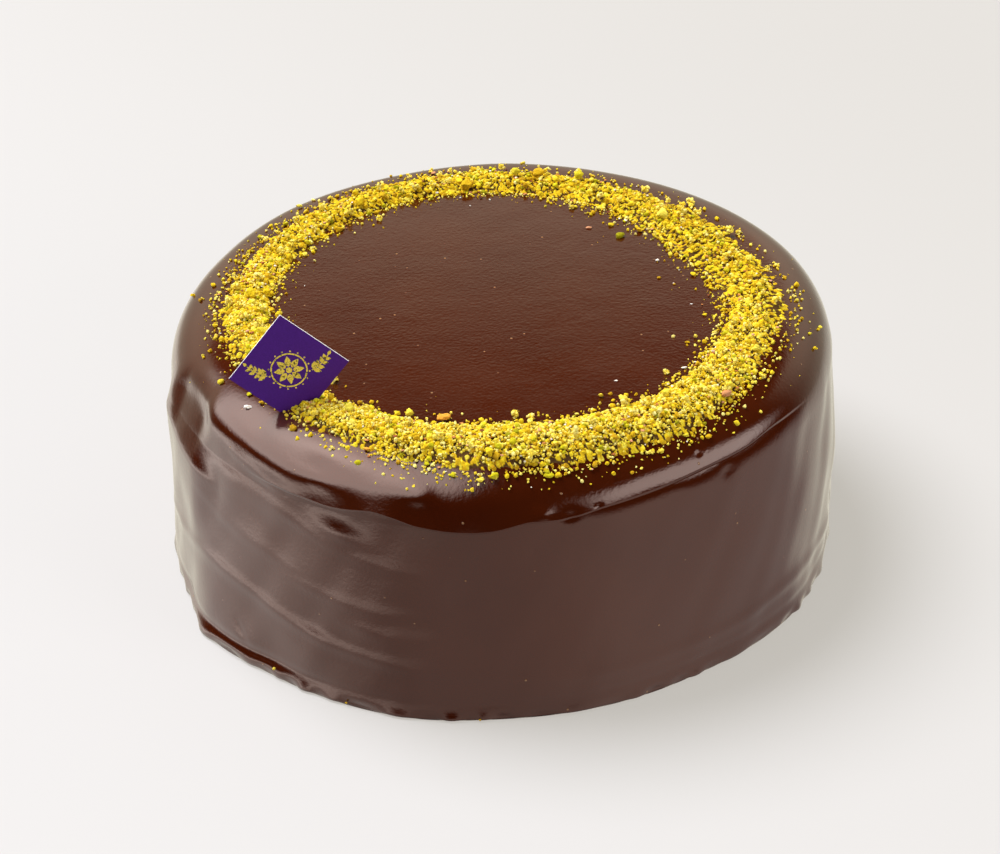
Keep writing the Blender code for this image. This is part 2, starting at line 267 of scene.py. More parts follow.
glazeRelief = {
    # lower edge of the glaze that ran over the shoulder, and the step under it
    "lipHeight": 0.0655,
    "lipLine": {-127: 0.0652, -118: 0.0640, -114: 0.0656, -109: 0.0668, -107: 0.0642, -103: 0.0632,
                -98: 0.0624, -92: 0.0628, -87: 0.0660, -84: 0.0663, -82: 0.0645, -77: 0.0672,
                -72: 0.0680, -65: 0.0690, -57: 0.0702, -46: 0.0702, -42: 0.0712, -34: 0.0705,
                0: 0.0655},
    "lipStep": {-128: 0.0, -116: 0.0003, -84: 0.0005, -74: 0.0009, -44: 0.0009, -36: 0.0004,
                -30: 0.0},
    "lipEdge": 0.0007,          # height of that step's edge
    "lipFade": 0.012,           # depth in which the glaze under it comes out again
    # how far the glaze stands out on its way down to the lip
    "lipSwell": {-135: 0.0, -127: 0.0005, -118: 0.0007, -104: 0.0008, -90: 0.0007, -78: 0.0005,
                 -66: 0.0, 0: 0.0},
    "swellReach": 0.0060,
    "lipRows": 0.011,           # reach within which the rows follow the lip
    # ridge over the foot
    "footHeight": 0.018,
    "footLine": {-170: 0.0240, -160: 0.0245, -155: 0.0262, -150: 0.0284, -145: 0.0280, -140: 0.0270,
                 -135: 0.0254, -130: 0.0230, -120: 0.0192, -110: 0.0175, -100: 0.0160, -90: 0.0142,
                 -80: 0.0122, -60: 0.0123, -50: 0.0120, -40: 0.0142, -29: 0.0135, 0: 0.0135,
                 90: 0.0180},
    "footRidge": {-180: 0.0003, -120: 0.0003, -105: 0.00025, -90: 0.0002, -70: 0.0002, -40: 0.0004,
                  0: 0.0004},
    "footWidth": 0.0024,
    "footRows": 0.014,          # reach within which the rows follow the ridge
    # folds: (rise, half width above, half width below, sharpness, path of azimuth: height),
    # those under the left shoulder first
    "folds": [
        (0.00150, 0.0040, 0.0056, 2.0,
         {-157: 0.0738, -149: 0.0742, -138: 0.0737, -130: 0.0718, -118: 0.0705}),
        (0.00060, 0.0036, 0.0050, 2.0, {-124: 0.0712, -116: 0.0722, -108: 0.0728, -101: 0.0735}),
        (0.00022, 0.0018, 0.0022, 2.0,
         {-143: 0.0688, -138: 0.0676, -133: 0.0655, -129: 0.0628, -126: 0.0612}),
        (0.00280, 0.0068, 0.0240, 1.3,
         {-174: 0.0612, -163: 0.0588, -156: 0.0563, -151: 0.0548, -144: 0.0530}),
        (-0.0018, 0.0055, 0.0070, 2.0, {-166: 0.0675, -160: 0.0690, -154: 0.0702, -147: 0.0700}),
        (0.00055, 0.0040, 0.0060, 2.0,
         {-150: 0.0602, -144: 0.0595, -138: 0.0592, -130: 0.0580, -124: 0.0560}),
        (0.00016, 0.0026, 0.0026, 2.0, {-152: 0.0500, -143: 0.0445, -133: 0.0420, -124: 0.0390}),
        (0.00017, 0.0020, 0.0020, 2.0,
         {-131: 0.0575, -125: 0.0552, -120: 0.0522, -115: 0.0500, -110: 0.0488, -102: 0.0480}),
        (0.00016, 0.0019, 0.0022, 2.0,
         {-130: 0.0372, -120: 0.0350, -115: 0.0342, -110: 0.0336, -102: 0.0350}),
        (0.00013, 0.0022, 0.0022, 2.0, {-119: 0.0280, -110: 0.0265, -98: 0.0275}),
        # fuller shoulder beside the card, and the groove that runs along it
        (0.00080, 0.0034, 0.0034, 2.0, {-138: 0.0778, -124: 0.0782, -108: 0.0780}),
        (-0.00006, 0.0014, 0.0014, 2.0, {-130: 0.0738, -115: 0.0736, -103: 0.0742}),
    ],
    "foldEnds": (0.30, 0.1),    # share of its length over which an end runs out, and its start
    "endWidth": 0.4,            # share of its width that an end has
    # marks: (azimuth, height, half width along, half width up, lean in degrees, rise)
    "marks": [
        (-103.5, 0.0722, 0.0040, 0.0024, 0.0, 0.0005),
        (-84.5, 0.0675, 0.0026, 0.0022, 0.0, 0.0005),
        (-80.0, 0.0660, 0.0022, 0.0020, 0.0, -0.0005),
        (-138.5, 0.0102, 0.0014, 0.0034, 35.0, -0.0003),
        (-117.0, 0.0562, 0.0075, 0.0032, -8.0, 0.0006),
        (-62.0, 0.0640, 0.0040, 0.0025, 0.0, -0.0002),
        (-52.0, 0.0655, 0.0030, 0.0022, 20.0, -0.0003),
        (-75.6, 0.0679, 0.0006, 0.0006, 0.0, -0.0004),
        (-57.0, 0.0738, 0.0006, 0.0008, 0.0, -0.0003),
        (-88.5, 0.0560, 0.0004, 0.0003, 0.0, -0.0002),
        (-86.0, 0.0558, 0.0004, 0.0003, 0.0, -0.0002),
    ],
    # slow waves all over the side: (rise, length along, length up, phase)
    "waves": [(0.00012, 0.031, 0.043, 0.4), (0.00009, -0.023, 0.029, 2.0),
              (0.00007, 0.017, -0.031, 4.1), (0.00007, 0.047, 0.021, 1.2),
              (0.00003, -0.0105, 0.022, 5.0)],
    "waviness": {-170: 0.8, -115: 0.7, -90: 0.45, -60: 0.5, -35: 1.0, 0: 1.0, 90: 1.0},
    "waveBand": (0.008, 0.060, 0.072),  # heights where they are full from, full to, and gone
    # lowest edge: how far it wanders, up to what height, and the lengths of its wander
    "footWander": 0.00045,
    "wanderHeight": 0.0035,
    "wanderLengths": (0.0021, 0.0090, 0.0047, 0.0150),
    # rolled bead at the left and the crease over it: (share, height, half width)
    "footRolls": [(1.0, 0.0026, 0.0015), (-0.7, 0.0056, 0.0013)],
    "footBead": {-170: 0.0, -158: 0.0005, -134: 0.0005, -120: 0.0001, 0: 0.0002},
    "steps": 600,
    "frontShare": 0.35,         # how much closer the steps are at the front
    # rows: on the top (share of the radius, rows), round the shoulder (angles, rows), and
    # down the side (from, to, rows), closer together at the lip and the foot ridge
    "topRows": (0.83, 22),
    "shoulderRows": (84.0, 24.0, 34),
    "sideRows": [(0.0698, 0.0610, 34), (0.0600, 0.0300, 30), (0.0293, 0.0090, 30),
                 (0.0083, cakeForm["footEdge"], 12)],
}


def rowHeights():
    angles = np.radians(np.linspace(*glazeRelief["shoulderRows"]))
    rows = list(shoulderStart() + cakeForm["shoulderDrop"] * np.sin(angles))
    for high, low, count in glazeRelief["sideRows"]:
        rows += list(np.linspace(high, low, count))
    return rows


def slideRows(azimuth, height):
    # the rows near the lip and near the foot ridge follow them
    form = glazeRelief
    toLip = ease(1.0 - np.abs(height - form["lipHeight"]) / form["lipRows"])
    toFoot = ease(1.0 - np.abs(height - form["footHeight"]) / form["footRows"])
    lipShift = byAzimuth(azimuth, form["lipLine"]) - form["lipHeight"]
    footShift = byAzimuth(azimuth, form["footLine"]) - form["footHeight"]
    return height + toLip * lipShift + toFoot * footShift


def foldDistance(azimuth, height, path):
    # distance to a path on the unrolled side, and the share of the path at its nearest point
    along = np.radians(azimuth) * cakeForm["radius"]
    points = [(math.radians(angle) * cakeForm["radius"], level) for angle, level in path.items()]
    lengths = [math.dist(a, b) for a, b in zip(points, points[1:])]
    whole = sum(lengths)
    nearest = np.full(azimuth.shape, 1.0)
    share = np.zeros(azimuth.shape)
    walked = 0.0
    for (ax, az), (bx, bz), length in zip(points, points[1:], lengths):
        t = ((along - ax) * (bx - ax) + (height - az) * (bz - az)) / (length * length)
        t = np.clip(t, 0.0, 1.0)
        gap = np.hypot(along - ax - t * (bx - ax), height - az - t * (bz - az))
        closer = gap < nearest
        nearest = np.where(closer, gap, nearest)
        share = np.where(closer, (walked + t * length) / whole, share)
        walked += length
    return nearest, share


def lipRelief(azimuth, height):
    # step under the lip, swell of the glaze down to it, and the ridge over the foot
    form = glazeRelief
    below = byAzimuth(azimuth, form["lipLine"]) - height
    under = ease(below / form["lipEdge"])
    step = byAzimuth(azimuth, form["lipStep"]) * np.exp(-np.maximum(below, 0.0) / form["lipFade"])
    above = np.clip(1.0 + below / form["swellReach"], 0.0, 1.0) ** 2
    swell = byAzimuth(azimuth, form["lipSwell"]) * above
    gap = (height - byAzimuth(azimuth, form["footLine"])) / form["footWidth"]
    ridge = byAzimuth(azimuth, form["footRidge"]) * hill(gap)
    return swell * (1.0 - under) - step * under + ridge


def foldRelief(azimuth, height):
    relief = 0.0
    taper, start = glazeRelief["foldEnds"]
    narrow = glazeRelief["endWidth"]
    for rise, widthAbove, widthBelow, sharpness, path in glazeRelief["folds"]:
        distance, share = foldDistance(azimuth, height, path)
        ends = ease(share / taper + start) * ease((1.0 - share) / taper + start)
        isAbove = height > between(azimuth, path)
        width = np.where(isAbove, widthAbove, widthBelow) * (narrow + (1.0 - narrow) * ends)
        relief = relief + rise * ends * np.exp(-(distance / width) ** sharpness)
    return relief


def markRelief(azimuth, height):
    relief = 0.0
    for angle, level, wide, tall, lean, rise in glazeRelief["marks"]:
        beside = np.radians(azimuth - angle) * cakeForm["radius"]
        up = height - level
        turn = math.radians(lean)
        across = beside * math.cos(turn) + up * math.sin(turn)
        over = up * math.cos(turn) - beside * math.sin(turn)
        relief = relief + rise * hill(np.hypot(across / wide, over / tall))
    return relief


def sideWaves(azimuth, height):
    along = np.radians(azimuth) * cakeForm["radius"]
    waves = 0.0
    for rise, across, up, phase in glazeRelief["waves"]:
        waves = waves + rise * np.sin(2.0 * math.pi * (along / across + height / up) + phase)
    low, high, top = glazeRelief["waveBand"]
    shown = ease(height / low) * ease((top - height) / (top - high))
    return waves * shown * byAzimuth(azimuth, glazeRelief["waviness"])


def footRelief(azimuth, height):
    form = glazeRelief
    along = np.radians(azimuth) * cakeForm["radius"]
    first, bend, second, slow = form["wanderLengths"]
    wander = np.sin(along / first + 2.0 * np.sin(along / bend))
    wander = wander + np.sin(along / second + 1.3) * np.sin(along / slow)
    edge = form["footWander"] * (wander * ease(1.0 - height / form["wanderHeight"]) - 0.5)
    rolls = [share * hill((height - level) / width) for share, level, width in form["footRolls"]]
    return edge + byAzimuth(azimuth, form["footBead"]) * sum(rolls)


def sideRelief(azimuth, height):
    parts = (lipRelief, foldRelief, markRelief, sideWaves, footRelief)
    return sum(part(azimuth, height) for part in parts)


def makeGlaze():
    form = glazeRelief
    radius = cakeForm["radius"]
    heights = rowHeights()
    profile = [(share * radius, cakeForm["height"]) for share in np.linspace(0.0, *form["topRows"])]
    profile += [(radius, height) for height in heights]
    profile += [(radius - cakeForm["footEdge"], 0.0), (0.5 * radius, 0.0), (0.0, 0.0)]
    mesh = bpy.data.meshes.new("glazedRound")
    points = [(distance, 0.0, height) for distance, height in profile]
    mesh.from_pydata(points, [(row, row + 1) for row in range(len(points) - 1)], [])
    turned = addObject("glazedRound", mesh)
    screw = turned.modifiers.new("turn", 'SCREW')
    screw.steps = form["steps"]
    screw.render_steps = form["steps"]
    screw.use_merge_vertices = True
    screw.merge_threshold = 0.00001
    solid = appliedMesh(turned)
    bpy.data.objects.remove(turned)
    solid.name = "chocolateGlaze"
    shapeGlaze(solid, heights[0])
    solid.shade_smooth()
    return addPiece("chocolateGlaze", solid, chocolateGlazeMaterial())


def shapeGlaze(mesh, highest):
    # the turned body gets the cake's outline and relief, with its columns closer in front
    points = np.empty(len(mesh.vertices) * 3)
    mesh.vertices.foreach_get("co", points)
    points = points.reshape(-1, 3)
    around = wrapped(np.degrees(np.arctan2(points[:, 1], points[:, 0])) + 90.0)
    gather = math.degrees(glazeRelief["frontShare"])
    azimuth = wrapped(around - gather * np.sin(np.radians(around)) - 90.0)
    radius = np.hypot(points[:, 0], points[:, 1])
    height = points[:, 2]
    onSide = (height > 0.5 * cakeForm["footEdge"]) & (height < highest + 0.00001)
    slid = np.where(onSide, slideRows(azimuth, height), height)
    outer = sideRadius(azimuth, slid) + sideRelief(azimuth, slid)
    outline = sideRadius(azimuth, np.minimum(slid, shoulderStart()))
    inside = radius * outline / cakeForm["radius"]
    settled = settle(azimuth, np.where(onSide, outer, inside), slid)
    mesh.vertices.foreach_set("co", settled.ravel())
    mesh.update()


glazePiece = makeGlaze()
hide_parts("glazed_cake")
print("glaze:", len(glazePiece.data.polygons), "faces")


tagCard = {
    "side": 0.0239,
    "thickness": 0.0005,
    "centre": (-0.0589, -0.0618, 0.0934),
    "tiltBack": -5.8,           # in degrees, as the two below
    "roll": 41.4,
    "turn": 5.1,
    "corner": 0.00010,          # bare rim along its cut edges
    "purple": (0.066, 0.0100, 0.205),
    "paper": (0.92, 0.91, 0.90),
    "gold": (0.86, 0.66, 0.07),
    "printLift": 0.00003,       # how far the foil stands on the paper
}


def cardFrame():
    angles = [math.radians(tagCard[name]) for name in ("tiltBack", "roll", "turn")]
    turn = Euler(angles, 'YXZ').to_matrix().to_4x4()
    return Matrix.Translation(tagCard["centre"]) @ turn


def shades(colour, *shares):
    return [tuple(share * part for part in colour) for share in shares]


def purpleCardMaterial():
    dark, light = shades(tagCard["purple"], 0.90, 1.10)
    stops = [(0.35, dark), (0.65, light)]
    material, tree, shader, fibre = grainMaterial("purpleCard", 2200.0, stops)
    feed(shader, {"Roughness": 0.5, "Specular IOR Level": 0.15,
                  "Normal": addBump(tree, fibre, 0.00002, 0.5)})
    return material


def cutPaperMaterial():
    grey, white = shades(tagCard["paper"], 0.82, 1.0)
    material, _, shader, _ = grainMaterial("cutPaper", 3000.0, [(0.3, grey), (0.6, white)])
    feed(shader, {"Roughness": 0.8})
    return material


def goldFoilMaterial():
    worn, gold = shades(tagCard["gold"], 0.07, 1.0)
    stops = [(0.38, worn), (0.46, gold)]
    material, tree, shader, crinkle = grainMaterial("goldFoil", 1300.0, stops)
    feed(shader, {"Metallic": 0.35, "Roughness": addRange(tree, crinkle, 0.3, 0.7, 0.45, 0.25),
                  "Normal": addBump(tree, crinkle, 0.00012, 0.8)})
    return material


def makeCard():
    side, thickness = tagCard["side"], tagCard["thickness"]
    shape = bmesh.new()
    bmesh.ops.create_cube(shape, size=1.0)
    bmesh.ops.scale(shape, vec=(side, thickness, side), verts=shape.verts[:])
    bmesh.ops.bevel(shape, geom=shape.edges[:], offset=tagCard["corner"], segments=2,
                    profile=0.6, affect='EDGES')
    for face in shape.faces:
        face.material_index = 0 if abs(face.normal.y) > 0.9 else 1
    mesh = meshOf("purpleCard", shape)
    mesh.transform(cardFrame())
    piece = addPiece("purpleCard", mesh, purpleCardMaterial())
    mesh.materials.append(cutPaperMaterial())
    return piece


# gold ornament in millimetres from the card's middle: a rosette between two leafy sprigs
ornament = {
    "petals": 8,
    "petalFrom": 1.1,
    "petalTo": 4.3,
    "petalWidth": 1.75,
    "hub": 0.9,
    "ring": (5.0, 0.42),        # radius and width of the line round the rosette
    "dots": 16,
    "dotRing": 5.75,
    "dotSize": 0.26,
    "stem": ((6.3, -0.9), (8.2, -0.2), (10.0, 1.2), (11.4, 3.0)),
    "stemWidth": 0.32,
    "leafPairs": 4,
    "leafLength": (2.5, 1.5),   # at the foot and at the tip of the stem
    "leafWidth": (1.35, 0.95),
    "leafSplay": 52.0,
}


def heading(angle):
    return Vector((math.cos(angle), math.sin(angle)))


def addStroke(shape, line, widths):
    # a flat ribbon along a line, with its own width at each point
    left = []
    right = []
    for index, point in enumerate(line):
        before = line[max(index - 1, 0)]
        after = line[min(index + 1, len(line) - 1)]
        ahead = (after - before).normalized()
        aside = Vector((-ahead.y, ahead.x)) * 0.5 * widths[index]
        left.append(shape.verts.new((point.x + aside.x, 0.0, point.y + aside.y)))
        right.append(shape.verts.new((point.x - aside.x, 0.0, point.y - aside.y)))
    for index in range(len(line) - 1):
        shape.faces.new((left[index], right[index], right[index + 1], left[index + 1]))


def addLeaf(shape, start, angle, length, width, steps=9):
    # a pointed leaf, widest before its middle
    shares = [step / steps for step in range(steps + 1)]
    line = [start + heading(angle) * length * share for share in shares]
    addStroke(shape, line, [0.02 + width * math.sin(math.pi * share ** 0.8) for share in shares])


def addRound(shape, centre, radius, sides):
    place = Matrix.Translation((centre.x, 0.0, centre.y))
    turn = Matrix.Rotation(math.radians(90.0), 4, 'X')
    bmesh.ops.create_circle(shape, cap_ends=True, segments=sides, radius=radius,
                            matrix=place @ turn)


def addRosette(shape):
    form = ornament
    for petal in range(form["petals"]):
        angle = 2.0 * math.pi * petal / form["petals"]
        start = heading(angle) * form["petalFrom"]
        addLeaf(shape, start, angle, form["petalTo"] - form["petalFrom"], form["petalWidth"])
    addRound(shape, Vector((0.0, 0.0)), form["hub"], 24)
    radius, width = form["ring"]
    line = [heading(2.0 * math.pi * step / 60) * radius for step in range(61)]
    addStroke(shape, line, [width] * len(line))
    for dot in range(form["dots"]):
        away = heading(2.0 * math.pi * (dot + 0.5) / form["dots"]) * form["dotRing"]
        addRound(shape, away, form["dotSize"], 12)


def addSprig(shape, side):
    # a bent stem with leaves in pairs and one at its tip; side is -1 or 1
    form = ornament
    knots = [Vector((side * x, y, 0.0)) for x, y in form["stem"]]
    stem = [point.to_2d() for point in interpolate_bezier(*knots, 24)]
    addStroke(shape, stem, [form["stemWidth"]] * len(stem))
    for pair in range(form["leafPairs"]):
        share = (pair + 0.4) / form["leafPairs"]
        at = int(share * (len(stem) - 2))
        ahead = stem[at + 1] - stem[at]
        length, width = [first * (1.0 - share) + last * share
                         for first, last in (form["leafLength"], form["leafWidth"])]
        for lean in (-1.0, 1.0):
            turn = math.atan2(ahead.y, ahead.x) + lean * math.radians(form["leafSplay"])
            addLeaf(shape, stem[at], turn, length, width)
    ahead = stem[-1] - stem[-2]
    addLeaf(shape, stem[-1], math.atan2(ahead.y, ahead.x), form["leafLength"][1],
            form["leafWidth"][1])


def makeOrnament():
    shape = bmesh.new()
    addRosette(shape)
    addSprig(shape, -1.0)
    addSprig(shape, 1.0)
    millimetres = Matrix.Scale(0.001, 4)
    level = Matrix.Rotation(math.radians(-45.0), 4, 'Y')
    front = Matrix.Translation((0.0, -0.5 * tagCard["thickness"] - tagCard["printLift"], 0.0))
    place = cardFrame() @ front @ level @ millimetres
    bmesh.ops.transform(shape, matrix=place, verts=shape.verts[:])
    bmesh.ops.recalc_face_normals(shape, faces=shape.faces[:])
    addPiece("goldOrnament", meshOf("goldOrnament", shape), goldFoilMaterial())


cardPiece = makeCard()
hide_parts("tag_card")
makeOrnament()
print("card and its ornament ready")


crumbRing = {
    # azimuth: radius, of the ring's inner and outer edge
    "inner": {-174: 0.0685, -150: 0.0700, -126: 0.0755, -90: 0.0750, -54: 0.0750, -30: 0.0715,
              -6: 0.0690, 18: 0.0620, 42: 0.0630, 66: 0.0660, 102: 0.0695, 150: 0.0675},
    "outer": {-174: 0.0850, -150: 0.0840, -138: 0.0845, -126: 0.0905, -102: 0.0940, -78: 0.0950,
              -54: 0.0945, -30: 0.0890, -6: 0.0890, 18: 0.0830, 42: 0.0820, 90: 0.0845, 126: 0.0840,
              162: 0.0820},
    "rise": 0.0019,             # height of the heap in its middle
    "riseCurve": 0.7,           # less than 1 makes its arch fuller
    "edgeSunk": 0.0008,         # how far its edges lie in the glaze
    "edgeFade": 0.25,           # share of its width over which it thins out
    "around": 1500,             # steps of the heap's mesh
    "across": 40,
    "grains": 12000,
    "grainRadius": (0.00030, 0.00080),
    "grainSmall": 1.8,          # more than 1 makes more small ones
    "grainSink": (-0.3, 0.35),  # how high its middle lies, in radii
    "gap": (0.070, 0.032, 0.006),       # painted shade down between the grains, partly the dark glaze that shows through there
    "patch": 0.0045,            # size of its thicker and thinner patches, and their waves
    "patchWaves": [(1.0, 0.7, 1.3, 1.0), (-0.6, 1.1, 0.4, 1.0), (1.9, -0.8, 0.0, 1.0),
                   (2.3, 2.1, 2.0, 0.7)],
    "patchRange": 2.6,
    "thickness": (0.75, 0.30),  # share of its rise, and how much of that the patches change
    "edgeLoss": (0.0009, 0.0007),       # lost at its edges, and how the patches change that
    "spill": 0.06,              # share of its width by which crumbs fall past it
    "thinning": (0.03, 0.14, 0.26),     # start, unevenness and width of its thinner edge
    # share of the stray crumbs that lie inside the ring
    "strayInside": {-180: 0.35, -90: 0.20, -30: 0.45, 10: 0.85, 60: 0.80, 120: 0.5, 180: 0.35},
    # share of the ring's width that is left bare at its outer edge
    "bare": {-180: 0.13, -150: 0.06, -120: 0.0, -60: 0.0, -40: 0.04, -12: 0.19, 20: 0.17, 60: 0.08,
             120: 0.06, 160: 0.12, 180: 0.13},
    # share of the lemon coloured crumbs that stays; most stay at the front, which makes that side
    # of the ring lighter as painted light
    "lemonShare": {-180: 0.7, -90: 1.0, -50: 0.7, 0: 0.12, 90: 0.12, 150: 0.25, 180: 0.7},
    # share of all the crumbs that stays
    "density": {-180: 0.85, -120: 1.0, -60: 1.0, -10: 0.65, 90: 0.55, 140: 0.60, 180: 0.85},
    "tries": 4,                 # places drawn for each crumb
    "layerFade": 0.2,           # share of the width over which their layer thins out
    "farthest": 0.0985,         # none lies further out than this
    "cardGap": 0.0003,          # between the crumbs and the card
    "seed": 17,
}

# kinds of crumb. small: more than 1 makes more small ones, detail: subdivisions of each,
# stray: share of strays, reach: how far they lie off, lift: height over the heap in radii,
# layer: thickness of their layer, flat: height of each as a share of its width
kindColumns = ("count", "radius", "small", "detail", "stray", "reach", "lift", "layer", "flat",
               "seed", "finish")
crumbKinds = {
    "crumbsFine":
        (9700, (0.00018, 0.00050), 1.2, 1, 0.05, 0.0018, 0.30, 0.0006, 1.00, 3, "yellow"),
    # pale lemon crumbs, whose palest tones are partly painted highlights
    "crumbsLemon":
        (7400, (0.00018, 0.00060), 1.4, 1, 0.04, 0.0016, 0.45, 0.0008, 1.00, 4, "lemon"),
    "crumbsMiddle":
        (1600, (0.00045, 0.00090), 1.7, 2, 0.05, 0.0018, 0.35, 0.0006, 0.90, 5, "yellow"),
    "crumbsCoarse":
        (90, (0.00085, 0.00120), 1.3, 3, 0.03, 0.0014, 0.35, 0.0004, 0.85, 21, "yellow"),
    "crumbsGreen":
        (460, (0.00030, 0.00095), 1.6, 2, 0.04, 0.0016, 0.60, 0.0008, 0.80, 7, "green"),
    "crumbsSkin":
        (620, (0.00020, 0.00060), 1.8, 2, 0.05, 0.0020, 0.80, 0.0010, 0.40, 9, "skin"),
    "crumbsPale":
        (110, (0.00020, 0.00050), 1.5, 2, 0.10, 0.0040, 0.80, 0.0010, 0.60, 13, "pale"),
    "crumbDust":
        (220, (0.00008, 0.00018), 1.5, 1, 1.00, 0.0045, 0.30, 0.0, 0.80, 15, "yellow"),
}

# crumbs in listed places, by colour: (azimuth, millimetres from the middle, size)
laidCrumbs = {
    "yellow": [
        (-105.7, 98.4, 0.7), (-106.9, 96.7, 0.6), (-110.3, 99.7, 0.4), (-111.1, 98.0, 0.5),
        (-117.2, 94.6, 0.7), (-93.9, 96.3, 1.3), (-69.3, 98.3, 0.8), (-72.4, 98.0, 0.8),
        (-53.8, 96.7, 1.3), (-57.7, 94.6, 0.9), (-49.0, 98.2, 0.5), (-76.4, 98.6, 0.4),
        (38.8, 59.4, 1.4), (48.5, 56.1, 1.1), (57.8, 59.1, 0.8), (7.0, 50.2, 0.8),
        (2.0, 54.2, 0.6), (6.6, 61.1, 1.3), (-16.0, 64.2, 0.8), (-28.4, 65.4, 0.7),
        (-31.6, 64.5, 0.8), (-9.6, 97.8, 0.8), (-17.4, 97.8, 0.8), (-65.9, 68.6, 1.0),
        (138.2, 67.0, 1.6), (149.3, 68.9, 1.5), (172.5, 88.0, 1.2), (172.0, 95.0, 1.0),
        (-161.9, 89.4, 0.9), (135.1, 89.0, 1.1), (-139.4, 89.5, 1.1), (-123.1, 73.3, 1.0),
    ],
    "green": [(-91.8, 95.5, 1.4), (-82.9, 96.2, 1.3), (40.7, 52.6, 1.7), (-143.3, 89.3, 1.1)],
    "skin": [(-45.5, 89.9, 1.9), (53.4, 50.7, 0.9), (53.8, 63.4, 0.9), (103.0, 86.0, 1.0)],
    "orange": [(-102.6, 74.0, 1.9), (-114.1, 91.9, 0.9)],
    "pale": [(-141.2, 92.4, 1.5), (-10.5, 59.4, 0.5), (-33.6, 74.4, 0.8), (-42.5, 71.6, 0.9),
             (-58.7, 63.2, 0.5)],
}
# how long, wide and thick the laid ones of each colour are
laidShape = {
    "yellow": (1.1, 0.9, 0.75), "green": (1.2, 0.9, 0.7), "skin": (1.2, 0.9, 0.5),
    "orange": (1.4, 0.9, 0.55), "pale": (1.3, 0.6, 0.35),
}
laidForm = {
    "radius": 0.00070,          # of one whose size is 1
    "seat": 0.0008,             # height of its seat over the smooth heap
    "lift": 0.45,               # height of its middle over that, in radii
    "detail": 3,
}

# crumbs stuck to the side
stuckCrumbs = {
    # azimuth, height and width of each
    "spots": [(-131.0, 0.0032, 0.0008), (-95.5, 0.0008, 0.0006), (-117.0, 0.0012, 0.0005)],
    "outward": 0.3,             # how far its middle lies off the side, in widths
    "radius": 0.6,              # in widths
    "flat": (1.0, 1.0, 0.8),
    "detail": 2,
}

# every crumb is an uneven lump: waves and roughness of its surface, how much longer or shorter
# it is each way, and the sides that are chopped flat, at these shares of its radius
crumbLump = {
    "waves": 5,
    "waveSpread": 2.0,
    "bulge": 0.5,
    "roughness": 0.13,
    "stretch": (0.78, 1.22),
    "cuts": 3,
    "cutAt": (0.55, 1.0),
}

# the largest crumbs lie where the solid cake has them
largestCrumbs = {
    "count": 140,
    "radius": (0.0011, 0.0020),
    "small": 1.6,               # more than 1 makes more small ones than large ones
    "spacing": 0.0042,          # least distance between the middles of two
    "lift": 0.35,               # height of the middle over its seat, in radii
    "strayShare": 0.12,
    "stray": (0.0012, 0.0022),  # least distance beside the ring, and its spread
    "within": (0.08, 0.92),     # share of the ring's width that they lie on
    "seat": 0.00095,            # height of their seat over the smooth heap
    "shapeDraws": 16,           # random draws that go into the shape of each
    "cardClear": 1.3,           # least distance of their middles to the card, in radii
    "clumpOf": 13,              # most of them are clumps of this many crumbs
    "clumpReach": (0.25, 0.80), # how far these lie from its middle, as shares of its radius
    "clumpSize": (0.22, 0.46),  # and how large they are
    "wholeEach": 5,             # and each fifth is whole
    "wholeSize": 0.85,
    "wholeFlat": (1.0, 1.0, 0.85),
    "seed": 29,
}

crumbColours = {
    "yellow": [(0.0, (0.49, 0.28, 0.010)), (0.14, (0.66, 0.42, 0.011)),
               (0.45, (0.77, 0.55, 0.012)), (0.75, (0.83, 0.66, 0.025)),
               (0.92, (0.91, 0.80, 0.12)), (1.0, (0.63, 0.55, 0.011))],
    # the palest lemon tones are partly painted highlights of lit crumbs
    "lemon": [(0.0, (0.88, 0.66, 0.035)), (0.5, (0.95, 0.81, 0.12)), (1.0, (0.98, 0.92, 0.34))],
    "green": [(0.0, (0.30, 0.29, 0.006)), (0.5, (0.52, 0.48, 0.010)),
              (1.0, (0.70, 0.64, 0.015))],
    "skin": [(0.0, (0.10, 0.022, 0.012)), (0.35, (0.32, 0.10, 0.035)),
             (0.7, (0.60, 0.25, 0.08)), (1.0, (0.70, 0.38, 0.25))],
    "orange": [(0.0, (0.78, 0.32, 0.03)), (1.0, (0.86, 0.42, 0.06))],
    "pale": [(0.0, (0.80, 0.76, 0.66)), (1.0, (0.95, 0.94, 0.92))],
}


def mottledShader(tree, shader, tone, scale, dark):
    # crumbly colour and surface shared by the crumbs and the heap
    meal = addNoise(tree, scale, 3.0, 0.7)
    shade = addRamp(tree, meal, [(0.34, dark), (0.58, (1.0, 1.0, 1.0))])
    feed(shader, {"Base Color": mixColours(tree, 0.8, tone, shade, 'MULTIPLY'),
                  "Roughness": 0.7, "Specular IOR Level": 0.25,
                  "Normal": addBump(tree, meal, 0.0003, 0.7)})


def crumbMaterial(finish):
    # each crumb has a tone of its own
    material, tree, shader = newMaterial("pistachio" + finish.capitalize())
    own = addNode(tree, "NewGeometry", {}, "Random Per Island")
    tone = addRamp(tree, own, crumbColours[finish])
    mottledShader(tree, shader, tone, 1600.0, (0.72, 0.62, 0.42))
    return material


def heapMaterial():
    material, tree, shader = newMaterial("pistachioHeap")
    own = addNode(tree, "Attribute", {}, "Fac", attribute_name="grainTone")
    tone = addRamp(tree, own, crumbColours["yellow"])
    # where the grains lie low the heap gets painted shade, partly the dark glaze that shows through
    # there
    height = addNode(tree, "Attribute", {}, "Fac", attribute_name="grainHeight")
    raised = addRange(tree, height, 0.20, 0.55, 0.0, 1.0)
    colour = mixColours(tree, raised, crumbRing["gap"], tone)
    mottledShader(tree, shader, colour, 1800.0, (0.55, 0.45, 0.25))
    return material


